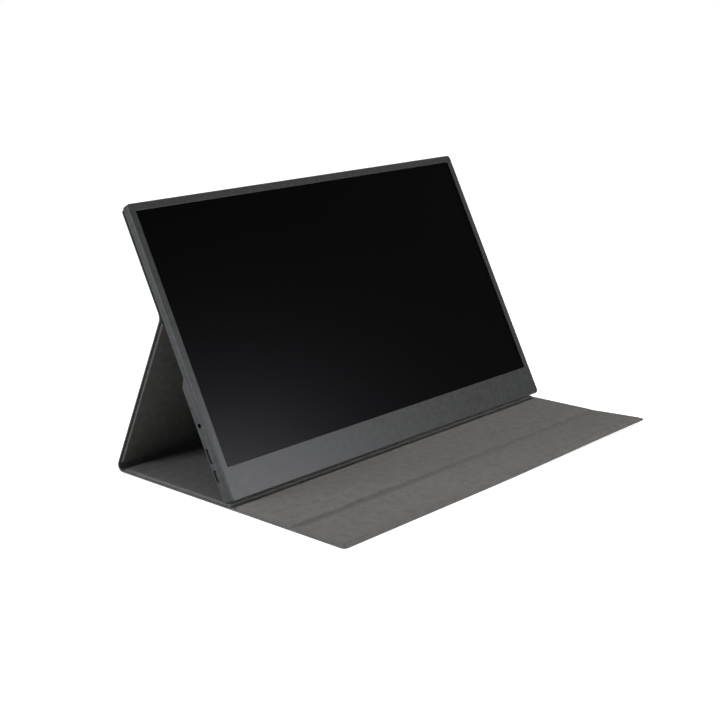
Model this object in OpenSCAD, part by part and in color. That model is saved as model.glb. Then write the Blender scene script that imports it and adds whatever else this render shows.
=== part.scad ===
// Portable monitor standing in its folded cover.
// Units are millimetres. +X is the viewer's right, -Y is towards the viewer, +Z is up.
// The origin is the middle of the footprint, on the surface that the cover lies on.

/* [Screen] */
// Width of the picture
screen_w = 344.2; // [280:0.1:400]
// Height of the picture
screen_h = 193.6; // [170:0.1:240]
// Border beside the picture
bezel_side = 5.9; // [5:0.1:15]
// Border above the picture
bezel_top = 6; // [5:0.1:15]
// Chin below the picture
chin_h = 24.5; // [20:0.1:40]
// How far the display lies behind the front face
screen_recess = 1.1; // [0.6:0.1:1.5]
// Thickness of the display glass
glass_t = 1.2; // [0.7:0.1:1.5]
// How far the glass reaches past the picture at the sides and the top
glass_lap = 3; // [1:0.1:3.5]
// How far the glass reaches past the picture at the chin
glass_lap_low = 6; // [2:0.1:8]
// How far the backlight stays inside the glass edge
light_inset = 1; // [0.5:0.1:4]

/* [Monitor body] */
// Thickness of the upper body
thin_t = 5.8; // [5.4:0.1:8]
// Thickness of the lower body, which holds the boards and sockets
thick_t = 10.8; // [10.5:0.1:14]
// Height of the thick lower body
thick_h = 88; // [78:0.5:110]
// Height of the slope between the thick and the thin body
slope_h = 6; // [3:0.5:15]
// Radius of the body's corners, seen from the front
corner_r = 3; // [2:0.1:8]
// Radius of the rear bottom edge, on which the monitor stands
bottom_r = 3; // [2:0.1:3.5]
// Radius of the rear top edge
top_edge_r = 1; // [0.3:0.1:2]
// Bevel around the front face
front_bevel = 0.6; // [0.2:0.1:1]
// Depth of the front frame, from the front face to the parting line
frame_depth = 2; // [1.8:0.1:2.3]
// Wall around the body
side_wall = 1; // [0.8:0.1:1.4]
// Wall at the back
back_wall = 0.8; // [0.6:0.1:1]
// Thickness of the steel keeper sheet behind the backlight
keeper_t = 0.4; // [0.2:0.1:0.8]
// Height of the keeper sheet
keeper_h = 58; // [30:1:60]

/* [Boards] */
// Thickness of a circuit board
board_t = 1; // [0.8:0.1:1.2]
// Width of the driver board on the left
driver_w = 116; // [100:1:150]
// Width of the key board on the right
keys_w = 56; // [50:1:80]
// Height of the boards
board_h = 60; // [58:0.5:64]
// Gap between the boards' lower edge and the bottom wall
board_low = 3; // [1:0.1:6]
// Gap between a board's outer edge and the side wall
board_gap = 0.8; // [0.3:0.1:2]
// Radius of a screw post
post_r = 2.2; // [1.8:0.1:3]
// Radius of a screw's shank
screw_r = 0.9; // [0.7:0.1:1.1]
// Radius of a screw's head
head_r = 1.7; // [1.5:0.1:2.2]
// Height of a screw's head
head_t = 0.7; // [0.4:0.1:0.9]
// Width of the flat cable between the boards
ribbon_w = 12; // [6:0.5:20]
// Thickness of the flat cable
ribbon_t = 0.3; // [0.2:0.05:0.5]
// Height of the flat cable's middle above the bottom edge
ribbon_v = 34; // [30:0.5:44]
// Width of the display connector
connector_w = 30; // [15:1:40]
// Width of a speaker box
speaker_w = 22; // [16:1:30]
// Height of a speaker box
speaker_h = 12; // [8:0.5:14]
// Distance from the body's side to a speaker's middle
speaker_in = 29; // [25:0.5:40]
// Width of a magnet block in the chin
chin_magnet_w = 20; // [10:1:30]
// Height of a magnet block in the chin
chin_magnet_h = 8; // [4:0.5:10]
// Thickness of a magnet block in the chin
chin_magnet_t = 2; // [1:0.1:2.5]
// Number of sound slots under each speaker
slots = 7; // [4:1:8]
// Distance between sound slots
slot_pitch = 2.1; // [1.8:0.1:2.4]
// Width of a sound slot
slot_w = 1; // [0.6:0.1:1.3]
// Length of a sound slot, front to back
slot_len = 3.6; // [2:0.1:4]

/* [Sockets] */
// Height of the small sockets' metal shells
socket_t = 3.2; // [3:0.1:3.6]
// Depth of the sockets
socket_depth = 7.4; // [6:0.1:9]
// Sheet thickness of the sockets' shells
socket_wall = 0.3; // [0.2:0.05:0.4]
// Length of the charging and picture sockets' mouths
usb_w = 8.94; // [8.4:0.01:9.6]
// Height of these sockets above the body's bottom edge
usb_v = 21.1; // [20:0.1:25]
// Length of the small wide socket's mouth
hdmi_w = 11.2; // [10.4:0.1:12]
// Height of the small wide socket above the bottom edge
hdmi_v = 35.9; // [34:0.1:42]
// Radius of the headphone socket's bore
jack_r = 1.75; // [1.7:0.01:1.85]
// Radius of the headphone socket's ring
jack_ring_r = 2.9; // [2.4:0.1:2.9]
// Width of the headphone socket's body
jack_w = 6; // [6:0.1:7.5]
// Length of the headphone socket
jack_len = 14; // [12:0.1:16]
// Depth of the headphone socket's bore
jack_bore = 12.5; // [11:0.1:14]
// Height of the headphone socket above the bottom edge
jack_v = 58.5; // [54:0.1:60]
// Clearance around each socket in its wall and board
socket_gap = 0.15; // [0.05:0.05:0.4]

/* [Buttons] */
// Height of the power button above the bottom edge
power_v = 40; // [36:0.1:42]
// Length of the power button
power_len = 8; // [6:0.1:10]
// Width of the power button
power_w = 2.2; // [1.8:0.1:2.4]
// How far the power button stands out
power_out = 0.5; // [0.3:0.1:1]
// Flange that keeps the power button in
power_flange = 0.9; // [0.5:0.1:1]
// Thickness of that flange
flange_t = 1.1; // [0.8:0.1:1.5]
// Travel of the power button
power_travel = 0.4; // [0.2:0.05:0.6]
// Height of the menu wheel's axle above the bottom edge
wheel_v = 60; // [59:0.1:64]
// Radius of the menu wheel
wheel_r = 4.5; // [4:0.1:5]
// Thickness of the menu wheel
wheel_t = 2.4; // [2:0.1:2.5]
// How far the menu wheel stands out
wheel_out = 0.7; // [0.4:0.1:1]
// Grip grooves around the menu wheel
wheel_grips = 30; // [16:2:36]
// Radius of the menu wheel's axle
axle_r = 0.8; // [0.6:0.05:1]
// Travel of the menu wheel when pressed
wheel_travel = 0.5; // [0.2:0.05:0.6]
// Thickness of the wheel carrier's cheeks
cheek_t = 0.8; // [0.6:0.1:1]
// Clearance of the buttons in their walls and guides
button_gap = 0.2; // [0.1:0.05:0.3]
// Width of a push switch
switch_w = 5; // [3.5:0.1:6]
// Free play beyond a button's travel
switch_play = 0.1; // [0.05:0.05:0.3]

/* [Cover] */
// How much wider the cover is than the monitor
cover_extra = 0; // [0:0.5:8]
// Thickness of a stiff panel
panel_t = 2.5; // [2:0.1:4]
// Thickness of the leather-look skin
skin_t = 0.5; // [0.3:0.05:0.7]
// Thickness of the lining
lining_t = 0.45; // [0.3:0.05:0.6]
// Thickness of the skin and the lining pressed together, in a border or a fold
leaf_t = 1; // [0.8:0.05:1.4]
// Width of the thin border beside a board
rim_w = 2.7; // [1.5:0.1:5]
// How far the lining slopes in at a border
rim_run = 1; // [0.4:0.1:2]
// How far the lining slopes in at a fold
fold_run = 0.5; // [0.3:0.1:1]
// Radius of the front flap's free corners
panel_r = 3.5; // [1.5:0.1:8]
// Radius of the top panel's free corners
top_r = 2.5; // [1.5:0.1:8]
// Distance between the two folds of the strut, along the strut
strut_len = 140.3; // [125:0.1:165]
// Height up the monitor's back at which the cover folds
fold_v = 140; // [120:0.5:145]
// Distance from a board's edge to the upper fold
fold_half = 4; // [2.5:0.1:6]
// How far the top panel stops below the monitor's top edge
top_short = 1.7; // [0:0.1:10]
// Outer radius of the rear bend
bend_r = 5; // [4.2:0.1:7]
// Distance from the rear fold to the crease
spine_len = 21.3; // [16:0.1:30]
// Distance from the crease to the base board's front edge; it sets how far the monitor leans
base_len = 105.25; // [90:0.05:130]
// Width of the crease
crease_w = 0.8; // [0.4:0.1:2]
// Distance from where the monitor stands to the base board's front edge
rest_margin = 3.3; // [2:0.1:15]
// Width of the first groove, under the chin
groove_1 = 4.5; // [3.5:0.1:8]
// Length of the middle flap
mid_len = 56.7; // [40:0.1:75]
// Width of the second groove
groove_2 = 6.3; // [4:0.1:8]
// Length of the front flap
front_len = 45.3; // [30:0.1:70]
// Radius of a magnet
magnet_r = 5; // [3:0.1:8]
// Distance from the cover's side to a magnet's middle
magnet_in = 32; // [20:0.5:60]

/* [Standing] */
// Air between the monitor and the surface that carries it
seat_gap = 0.3; // [0.1:0.05:0.6]
// Air between the monitor's back and the top panel
panel_gap = 0.1; // [0.05:0.05:0.4]

/* [Hidden] */
$fn = 48;
eps = 0.01;
cut = 1;            // how far a cutting shape reaches past the face it opens
arc_steps = 10;     // straight pieces in a drawn corner

// --- sizes of the monitor's body, in its own frame:
// x across, y from the front face backwards, z up from the bottom edge
body_w = screen_w + 2 * bezel_side;
body_h = chin_h + screen_h + bezel_top;
half_w = body_w / 2;
inner_x = half_w - side_wall;
back_in = thick_t - back_wall;
glass_back = screen_recess + glass_t;
light_back = thin_t - back_wall - keeper_t;
slope_shift = back_wall * tan(atan2(thick_t - thin_t, slope_h) / 2);
cavity_r = max(bottom_r - side_wall, 0.5);

// --- boards, behind the display
board_y1 = back_in - socket_t;
board_y0 = board_y1 - board_t;
board_v0 = side_wall + board_low;
board_v1 = board_v0 + board_h;
driver_x0 = -inner_x + board_gap;
driver_x1 = driver_x0 + driver_w;
keys_x1 = inner_x - board_gap;
keys_x0 = keys_x1 - keys_w;
post_in = 8;        // distance of the outer screw posts from a board's edges
low_v = board_v0 + 6;
high_v = board_v1 - 6;
screw_at = [
    [driver_x0 + 46, low_v], [driver_x0 + 46, high_v],
    [driver_x1 - post_in, low_v], [driver_x1 - post_in, high_v],
    [keys_x0 + 6, low_v], [keys_x0 + 6, high_v], [keys_x0 + 36, high_v - 10]
];
hole_gap = 0.1;     // clearance of a screw's shank in its holes
post_sink = 0.2;    // how far a post is rooted in the back wall
socket_y = back_in - socket_t / 2;
jack_y0 = light_back + 0.4;
jack_y = max(jack_y0 + jack_r + 0.35, side_wall + jack_ring_r);
nose_len = 1.8;
tongue_t = 0.7;     // contact tongue in the small sockets
tongue_short = 0.8; // how far the tongue stops behind the mouth
lap = 6;            // how far the flat cable reaches over each board

// --- buttons on the right side
flange_x = inner_x - flange_t;
power_switch_d = 3;
power_nub = 1.6;
power_switch_x = flange_x - power_travel - switch_play - power_nub;
axle_x = half_w + wheel_out - wheel_r;
wheel_y = back_in - button_gap - cheek_t - button_gap - wheel_t / 2;
cheek_in = wheel_t / 2 + button_gap;
cheek_out = cheek_in + cheek_t;
carrier_half = wheel_r + 0.5;
carrier_x0 = axle_x - wheel_r - 1.6;
carrier_x1 = inner_x - wheel_travel - button_gap;
carrier_back_t = 1;
rib_t = 1;
wheel_switch_d = 3.2;
wheel_nub = 0.6;
wheel_switch_x = carrier_x0 - wheel_travel - switch_play - wheel_nub;
mouth_half = sqrt(pow(wheel_r, 2) - pow(inner_x - wheel_travel - axle_x, 2)) + 0.3;

// --- how far the monitor leans from upright: its standing edge, the upper fold and the rear fold
// make a triangle whose sides the cover's own lengths set
fold_in = panel_t - leaf_t / 2;
fold_d = thin_t + panel_gap + fold_in;
stand_d = spine_len + base_len - rest_margin;
stand_rise = seat_gap + bottom_r;
back_len = norm([fold_v - bottom_r, fold_d - (thick_t - bottom_r)]);
floor_len = norm([stand_d, stand_rise]);
stand_a = acos((pow(back_len, 2) + pow(floor_len, 2) - pow(strut_len, 2)) / (2 * back_len * floor_len));
tilt = 90 - atan2(fold_d - (thick_t - bottom_r), fold_v - bottom_r) - stand_a + atan2(stand_rise, stand_d);

// --- how the monitor and the cover stand, measured from the monitor's front bottom edge
edge_z = panel_t + seat_gap + bottom_r - bottom_r * cos(tilt) + (thick_t - bottom_r) * sin(tilt);
stand_y = (thick_t - bottom_r) * cos(tilt) + bottom_r * sin(tilt);
fold_y = fold_v * sin(tilt) + fold_d * cos(tilt);
fold_z = edge_z + fold_v * cos(tilt) - fold_d * sin(tilt);
pivot_y = stand_y + stand_d;
strut_a = atan2(fold_z - panel_t, pivot_y - fold_y) - asin(fold_in / strut_len);
strut_s = sqrt(pow(strut_len, 2) - pow(fold_in, 2));
bend_off = (bend_r - panel_t) / tan(strut_a / 2);
bend_y = pivot_y - bend_off;
crease_y = pivot_y - spine_len;
base_y0 = crease_y - base_len;
mid_y1 = base_y0 - groove_1;
mid_y0 = mid_y1 - mid_len;
front_y1 = mid_y0 - groove_2;
front_y0 = front_y1 - front_len;
middle_y = (front_y0 + bend_y + bend_r) / 2;

// --- the cover's panels: [near end, far end, corner radius at each, free edge at each]
cover_w = body_w + 2 * cover_extra;
core_t = panel_t - skin_t - lining_t;
seam_r = 0.2;
tuck_gap = 0.1;
top_p = [fold_v + fold_half + tuck_gap, body_h - top_short, seam_r, top_r, false, true];
strut_p = [bend_off + tuck_gap, strut_s - fold_half - tuck_gap, seam_r, seam_r, false, false];
spine_p = [crease_y + crease_w / 2, bend_y, seam_r, seam_r, false, false];
base_p = [base_y0, crease_y - crease_w / 2, seam_r, seam_r, false, false];
mid_p = [mid_y0, mid_y1, seam_r, seam_r, false, false];
front_p = [front_y0, front_y1, panel_r, seam_r, true, false];
magnet_gap = 0.1;
magnet_x = cover_w / 2 - magnet_in;
top_magnet_at = [for (x = [-1, 1], y = [0.25, 0.75]) [x * magnet_x, top_p[0] + y * (top_p[1] - top_p[0])]];
front_magnet_at = [for (x = [-1, 1]) [x * magnet_x, (front_y0 + front_y1) / 2]];

// --- colours
charcoal = "#5b5f63";
black = "#1c1d1f";
skin_grey = "#3c3e40";
lining_grey = "#63615f";
steel = "#b9bcc0";
board_green = "#1f4d35";

// ---------------------------------------------------------------- drawing helpers

function corner(cx, cy, r, a) =
    [for (i = [0 : arc_steps]) [cx + r * cos(a + 90 * i / arc_steps), cy + r * sin(a + 90 * i / arc_steps)]];

// Outline of a plate of width w from y0 to y1, with radius r0 at the y0 end and r1 at the y1 end
function plate(w, y0, y1, r0, r1) = concat(
    corner(w / 2 - r1, y1 - r1, r1, 0), corner(r1 - w / 2, y1 - r1, r1, 90),
    corner(r0 - w / 2, y0 + r0, r0, 180), corner(w / 2 - r0, y0 + r0, r0, 270));

// Outline of a mouth w long and t high, with round ends
function mouth(w, t, r) = plate(w, -t / 2, t / 2, r, r);

// The frame whose origin is the front bottom edge of the monitor, moved to the part's own origin
module standing() translate([0, -middle_y, 0]) children();

// The monitor's own frame
module in_monitor() standing() translate([0, 0, edge_z]) rotate([-tilt, 0, 0]) children();

// A flat panel's frame turned onto the strut, and onto the monitor's back
module on_strut() standing() translate([0, pivot_y, panel_t]) rotate([90 - strut_a, 0, 0])
    translate([0, panel_t, 0]) rotate([90, 0, 0]) children();
module on_back() in_monitor() translate([0, thin_t + panel_gap + panel_t, 0]) rotate([90, 0, 0]) children();

// A flat outline made into a slab from depth y0 to depth y1 of the monitor
module slab(y0, y1) translate([0, y1, 0]) rotate([90, 0, 0]) linear_extrude(y1 - y0) children();

// A side view (depth, height) made solid across the width w
module across(w) translate([-w / 2, 0, 0]) rotate([90, 0, 90]) linear_extrude(w) children();

// A block between two corners
module block(a, b) translate(a) cube(b - a);

// A round bar along the depth
module bar(x, z, y0, y1, r) translate([x, y0, z]) rotate([-90, 0, 0]) cylinder(h = y1 - y0, r = r);

// A place on the left and on the right side, with +Z out of the side
module on_left(y, z) in_monitor() translate([-half_w, y, z]) rotate([0, -90, 0]) children();
module on_right(y, z) in_monitor() translate([half_w, y, z]) rotate([0, 90, 0]) children();

module outline(inset) polygon(plate(body_w - 2 * inset, inset, body_h - inset,
    max(corner_r - inset, 0.3), max(corner_r - inset, 0.3)));

// ---------------------------------------------------------------- monitor

module front_bezel() color(charcoal) in_monitor() difference() {
    union() {
        hull() {
            slab(0, eps) outline(front_bevel);
            slab(front_bevel, front_bevel + eps) outline(0);
        }
        slab(front_bevel, frame_depth) outline(0);
    }
    translate([0, 0, chin_h + screen_h / 2]) block(
        [-screen_w / 2, -cut, -screen_h / 2], [screen_w / 2, frame_depth + cut, screen_h / 2]);
    slab(screen_recess, frame_depth + cut) outline(side_wall);
}

module lcd_glass() color(black) in_monitor() block(
    [-screen_w / 2 - glass_lap, screen_recess, chin_h - glass_lap_low],
    [screen_w / 2 + glass_lap, glass_back, chin_h + screen_h + glass_lap]);

module backlight() color("#d8dadd") in_monitor() block(
    [-screen_w / 2 - glass_lap + light_inset, glass_back, chin_h - glass_lap_low + light_inset],
    [screen_w / 2 + glass_lap - light_inset, light_back, chin_h + screen_h + glass_lap - light_inset]);

module keeper_plate() color(steel) in_monitor() block(
    [-magnet_x - 3 * magnet_r, light_back, chin_h + screen_h - keeper_h - bezel_top],
    [magnet_x + 3 * magnet_r, thin_t - back_wall, chin_h + screen_h - bezel_top]);

// Side view of the body, and of the room inside it
module body_side() polygon(concat(
    [[0, 0]],
    corner(thick_t - bottom_r, bottom_r, bottom_r, -90),
    [[thick_t, thick_h], [thin_t, thick_h + slope_h]],
    corner(thin_t - top_edge_r, body_h - top_edge_r, top_edge_r, 0),
    [[0, body_h]]));
module room_side() polygon(concat(
    [[-cut, side_wall]],
    corner(back_in - cavity_r, side_wall + cavity_r, cavity_r, -90),
    [[back_in, thick_h - slope_shift], [thin_t - back_wall, thick_h + slope_h - slope_shift],
     [thin_t - back_wall, body_h - side_wall], [-cut, body_h - side_wall]]));

module socket_hole(w, t) translate([0, 0, -side_wall - cut]) linear_extrude(side_wall + 2 * cut)
    polygon(mouth(w + 2 * socket_gap, t + 2 * socket_gap, t / 2 - 0.3));

module rear_shell() color(charcoal) {
    difference() {
        in_monitor() union() {
            difference() {
                intersection() {
                    slab(frame_depth, thick_t) outline(0);
                    across(body_w + 2 * cut) body_side();
                }
                intersection() {
                    slab(0, thick_t) outline(side_wall);
                    across(body_w) room_side();
                }
            }
            for (p = screw_at) bar(p[0], p[1], board_y1, back_in + post_sink, post_r);
            for (s = [-1, 1]) translate([0, 0, wheel_v + s * (carrier_half + button_gap + rib_t / 2)])
                block([carrier_x0, wheel_y - cheek_out, -rib_t / 2], [inner_x + post_sink, back_in + post_sink, rib_t / 2]);
        }
        in_monitor() for (p = screw_at) bar(p[0], p[1], board_y1 - cut, back_in - 0.3, screw_r + hole_gap);
        on_left(socket_y, usb_v) socket_hole(usb_w, socket_t);
        on_left(socket_y, hdmi_v) socket_hole(hdmi_w, socket_t);
        on_right(socket_y, usb_v) socket_hole(usb_w, socket_t);
        on_left(jack_y, jack_v) translate([0, 0, -side_wall - cut])
            cylinder(h = side_wall + 2 * cut, r = jack_ring_r + socket_gap);
        on_right(socket_y, power_v) translate([0, 0, -side_wall - cut]) linear_extrude(side_wall + 2 * cut)
            polygon(mouth(power_len + 2 * button_gap, power_w + 2 * button_gap, power_w / 2));
        on_right(wheel_y, wheel_v) translate([0, 0, -side_wall - cut]) linear_extrude(side_wall + 2 * cut)
            polygon(mouth(2 * mouth_half, wheel_t + 2 * button_gap, 0.6));
        in_monitor() for (s = [-1, 1], i = [0 : slots - 1])
            translate([s * (half_w - speaker_in) + (i - (slots - 1) / 2) * slot_pitch, board_y1 + 0.4, 0])
                block([-slot_w / 2, -slot_len, -cut], [slot_w / 2, 0, side_wall + cut]);
    }
}

// A circuit board between x0 and x1, with its screw holes
module board(x0, x1) difference() {
    block([x0, board_y0, board_v0], [x1, board_y1, board_v1]);
    for (p = screw_at) bar(p[0], p[1], board_y0 - cut, board_y1 + cut, screw_r + hole_gap);
}

module chip(x, z, w, h, t) block([x, board_y1 - eps, z], [x + w, board_y1 + t, z + h]);

module driver_board() color(board_green) in_monitor() difference() {
    union() {
        board(driver_x0, driver_x1);
        chip(driver_x0 + 62, board_v0 + 20, 16, 16, 1.2);
        chip(driver_x0 + 24, board_v0 + 34, 10, 8, 1);
        chip(driver_x0 + 56, board_v0 + 44, 12, 6, 1.4);
    }
    block([driver_x0 - cut, board_y0 - cut, jack_v - jack_w / 2 - socket_gap],
        [-half_w + jack_len + 2 * socket_gap, board_y1 + cut, jack_v + jack_w / 2 + socket_gap]);
}

module key_board() color(board_green) in_monitor() difference() {
    union() {
        board(keys_x0, keys_x1);
        chip(keys_x0 + 14, board_v0 + 22, 8, 8, 1);
    }
    block([carrier_x0 - wheel_travel - switch_play, board_y0 - cut, wheel_v - carrier_half - button_gap - rib_t - socket_gap],
        [half_w, board_y1 + cut, body_h]);
}

module board_screws() color(steel) in_monitor() for (p = screw_at) union() {
    bar(p[0], p[1], board_y0 - head_t, board_y0, head_r);
    bar(p[0], p[1], board_y0 - eps, back_in - 1, screw_r);
}

module ribbon_cable() color("#c8a15a") in_monitor() block(
    [driver_x1 - lap, board_y1, ribbon_v - ribbon_w / 2], [keys_x0 + lap, board_y1 + ribbon_t, ribbon_v + ribbon_w / 2]);

module panel_connector() color("#e4e0d2") in_monitor() translate([driver_x0 + 60, 0, board_v0 + 26])
    block([0, light_back, 0], [connector_w, board_y0, 6]);

// A small socket with a shell and a contact tongue; its mouth is at z = 0
module socket(w) {
    difference() {
        translate([0, 0, -socket_depth]) linear_extrude(socket_depth) polygon(mouth(w, socket_t, socket_t / 2 - 0.3));
        translate([0, 0, -socket_depth + 1]) linear_extrude(socket_depth)
            polygon(mouth(w - 2 * socket_wall, socket_t - 2 * socket_wall, socket_t / 2 - 0.3 - socket_wall));
    }
    translate([-w / 2 + 1.2, -tongue_t / 2, -socket_depth + 1 - eps])
        cube([w - 2.4, tongue_t, socket_depth - 1 - tongue_short]);
}

module port_usb_c_left() color(steel) on_left(socket_y, usb_v) socket(usb_w);
module port_usb_c_right() color(steel) on_right(socket_y, usb_v) socket(usb_w);
module port_hdmi() color(steel) on_left(socket_y, hdmi_v) socket(hdmi_w);

module port_audio() color(steel) on_left(jack_y, jack_v) difference() {
    union() {
        translate([0, 0, -nose_len]) cylinder(h = nose_len, r = jack_ring_r);
        block([-jack_w / 2, jack_y0 - jack_y, -jack_len], [jack_w / 2, back_in - jack_y, -nose_len]);
    }
    translate([0, 0, -jack_bore]) cylinder(h = jack_bore + cut, r = jack_r);
}

module speaker(s) color(black) in_monitor() translate([s * (half_w - speaker_in), 0, side_wall])
    block([-speaker_w / 2, board_y1, cavity_r], [speaker_w / 2, back_in, cavity_r + speaker_h]);
module speaker_left() speaker(-1);
module speaker_right() speaker(1);

module chin_magnets() color(steel) in_monitor() for (s = [-1, 1]) translate([s * magnet_x, 0, 0])
    block([-chin_magnet_w / 2, screen_recess, (chin_h - glass_lap_low - chin_magnet_h) / 2],
        [chin_magnet_w / 2, screen_recess + chin_magnet_t, (chin_h - glass_lap_low + chin_magnet_h) / 2]);

// A push switch on the key board, d deep, with its nub towards the button
module switch_at(x, z, d, nub) in_monitor() {
    block([x - d, board_y1, z - switch_w / 2], [x, back_in - 0.1, z + switch_w / 2]);
    block([x - eps, socket_y - 0.6, z - 0.8], [x + nub, socket_y + 0.6, z + 0.8]);
}

module power_switch() color(black) switch_at(power_switch_x, power_v, power_switch_d, power_nub);
module wheel_switch() color(black) switch_at(wheel_switch_x, wheel_v, wheel_switch_d, wheel_nub);

module power_button() color(charcoal) on_right(socket_y, power_v) {
    translate([0, 0, -side_wall - eps]) linear_extrude(side_wall + eps + power_out)
        polygon(mouth(power_len, power_w, power_w / 2 - 0.1));
    translate([0, 0, -side_wall - flange_t]) linear_extrude(flange_t)
        polygon(mouth(power_len + 2 * power_flange, min(power_w + power_flange, socket_t - 0.2), 0.4));
}

module wheel_carrier() color(black) in_monitor() difference() {
    union() {
        for (s = [-1, 1]) block(
            [carrier_x0, wheel_y + (s > 0 ? cheek_in : -cheek_out), wheel_v - carrier_half],
            [carrier_x1, wheel_y + (s > 0 ? cheek_out : -cheek_in), wheel_v + carrier_half]);
        block([carrier_x0, wheel_y - cheek_out, wheel_v - carrier_half],
            [carrier_x0 + carrier_back_t, wheel_y + cheek_out, wheel_v + carrier_half]);
    }
    bar(axle_x, wheel_v, wheel_y - cheek_out - cut, wheel_y + cheek_out + cut, axle_r + hole_gap);
}

module menu_wheel() color(black) in_monitor() {
    difference() {
        bar(axle_x, wheel_v, wheel_y - wheel_t / 2, wheel_y + wheel_t / 2, wheel_r);
        for (i = [0 : wheel_grips - 1]) translate([axle_x, wheel_y, wheel_v]) rotate([0, 360 / wheel_grips * i, 0])
            block([wheel_r - 0.25, -wheel_t / 2 - cut, -0.15], [wheel_r + cut, wheel_t / 2 + cut, 0.15]);
    }
    bar(axle_x, wheel_v, wheel_y - cheek_out, wheel_y + cheek_out, axle_r);
}

// ---------------------------------------------------------------- cover panels
// A panel p is a stiff board between a skin and a lining, which lie pressed together in the thin border
// around the board and slope up over its edges. Its outer face is at z = 0 and its lining faces z = panel_t.

// How far the raised middle starts from the near end (0) or the far end (1), and how far it slopes in there
function border(p, end) = p[4 + end] ? rim_w : 0;
function slope(p, end) = p[4 + end] ? rim_run : fold_run;

// Outline of the raised middle, where part f of the slope has been climbed, drawn in by d
module raised(p, f, d = 0) polygon(plate(cover_w - 2 * (rim_w + f * rim_run + d),
    p[0] + border(p, 0) + f * slope(p, 0) + d, p[1] - border(p, 1) - f * slope(p, 1) - d, seam_r, seam_r));

module board_room(p) translate([0, 0, skin_t]) linear_extrude(core_t) raised(p, 1, tuck_gap);

module skin(p) color(skin_grey) linear_extrude(skin_t) polygon(plate(cover_w, p[0], p[1], p[2], p[3]));

module core(p, magnets = []) color("#8a7a60") difference() {
    board_room(p);
    for (m = magnets) translate([m[0], m[1], skin_t - cut]) cylinder(h = core_t + 2 * cut, r = magnet_r + magnet_gap);
}

module lining(p) color(lining_grey) difference() {
    union() {
        translate([0, 0, skin_t]) linear_extrude(leaf_t - skin_t) polygon(plate(cover_w, p[0], p[1], p[2], p[3]));
        hull() {
            translate([0, 0, skin_t]) linear_extrude(leaf_t - skin_t) raised(p, 0);
            translate([0, 0, panel_t - eps]) linear_extrude(eps) raised(p, 1);
        }
    }
    board_room(p);
}

module magnets(at) color(steel) for (m = at) translate([m[0], m[1], skin_t]) cylinder(h = core_t, r = magnet_r);

module top_skin() on_back() skin(top_p);
module top_board() on_back() core(top_p, top_magnet_at);
module top_lining() on_back() lining(top_p);
module top_magnets() on_back() magnets(top_magnet_at);
module strut_skin() on_strut() skin(strut_p);
module strut_board() on_strut() core(strut_p);
module strut_lining() on_strut() lining(strut_p);
module spine_skin() standing() skin(spine_p);
module spine_board() standing() core(spine_p);
module spine_lining() standing() lining(spine_p);
module base_skin() standing() skin(base_p);
module base_board() standing() core(base_p);
module base_lining() standing() lining(base_p);
module mid_skin() standing() skin(mid_p);
module mid_board() standing() core(mid_p);
module mid_lining() standing() lining(mid_p);
module front_skin() standing() skin(front_p);
module front_board() standing() core(front_p, front_magnet_at);
module front_lining() standing() lining(front_p);
module front_magnets() standing() magnets(front_magnet_at);

// ---------------------------------------------------------------- folds

// The upper fold, bent round a line behind it, from the strut's end to the top panel's start
module fold_strip() color(skin_grey) {
    turn = 90 - strut_a + tilt;
    r = fold_half / tan(turn / 2);
    middle = [fold_y, fold_z] + fold_half * [cos(strut_a), -sin(strut_a)] + r * [sin(strut_a), cos(strut_a)];
    standing() across(cover_w) translate(middle) polygon(concat(
        [for (i = [0 : 12]) let (a = 270 - strut_a - turn * i / 12) (r + leaf_t / 2) * [cos(a), sin(a)]],
        [for (i = [12 : -1 : 0]) let (a = 270 - strut_a - turn * i / 12) (r - leaf_t / 2) * [cos(a), sin(a)]]));
}

// The rear bend, from under the spine up to the strut's outer face
module bend_strip() color(skin_grey) standing() across(cover_w) translate([bend_y, bend_r]) polygon(concat(
    [for (i = [0 : 12]) let (a = -90 + (180 - strut_a) * i / 12) bend_r * [cos(a), sin(a)]],
    [for (i = [12 : -1 : 0]) let (a = -90 + (180 - strut_a) * i / 12) (bend_r - leaf_t) * [cos(a), sin(a)]]));

// A flat strip on the surface between two panels
module flat_strip(y0, y1) color(skin_grey) standing() translate([0, (y0 + y1) / 2, leaf_t / 2])
    cube([cover_w, y1 - y0, leaf_t], center = true);

module crease_strip() flat_strip(base_p[1], spine_p[0]);
module groove_strip_1() flat_strip(mid_y1, base_y0);
module groove_strip_2() flat_strip(front_y1, mid_y0);

// ---------------------------------------------------------------- nodes

front_bezel();
lcd_glass();
backlight();
keeper_plate();
rear_shell();
driver_board();
key_board();
board_screws();
ribbon_cable();
panel_connector();
port_audio();
port_hdmi();
port_usb_c_left();
port_usb_c_right();
speaker_left();
speaker_right();
chin_magnets();
power_switch();
wheel_switch();
power_button();
wheel_carrier();
menu_wheel();
top_skin();
top_board();
top_lining();
top_magnets();
strut_skin();
strut_board();
strut_lining();
spine_skin();
spine_board();
spine_lining();
base_skin();
base_board();
base_lining();
mid_skin();
mid_board();
mid_lining();
front_skin();
front_board();
front_lining();
front_magnets();
fold_strip();
bend_strip();
crease_strip();
groove_strip_1();
groove_strip_2();
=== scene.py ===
# Portable monitor standing in its folded cover.
# Lengths are written in millimetres and turned to metres where a mesh is made.
from math import acos, asin, atan2, cos, hypot, pi, radians, sin, tan

import bmesh
import bpy
from mathutils import Matrix, Vector


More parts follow.
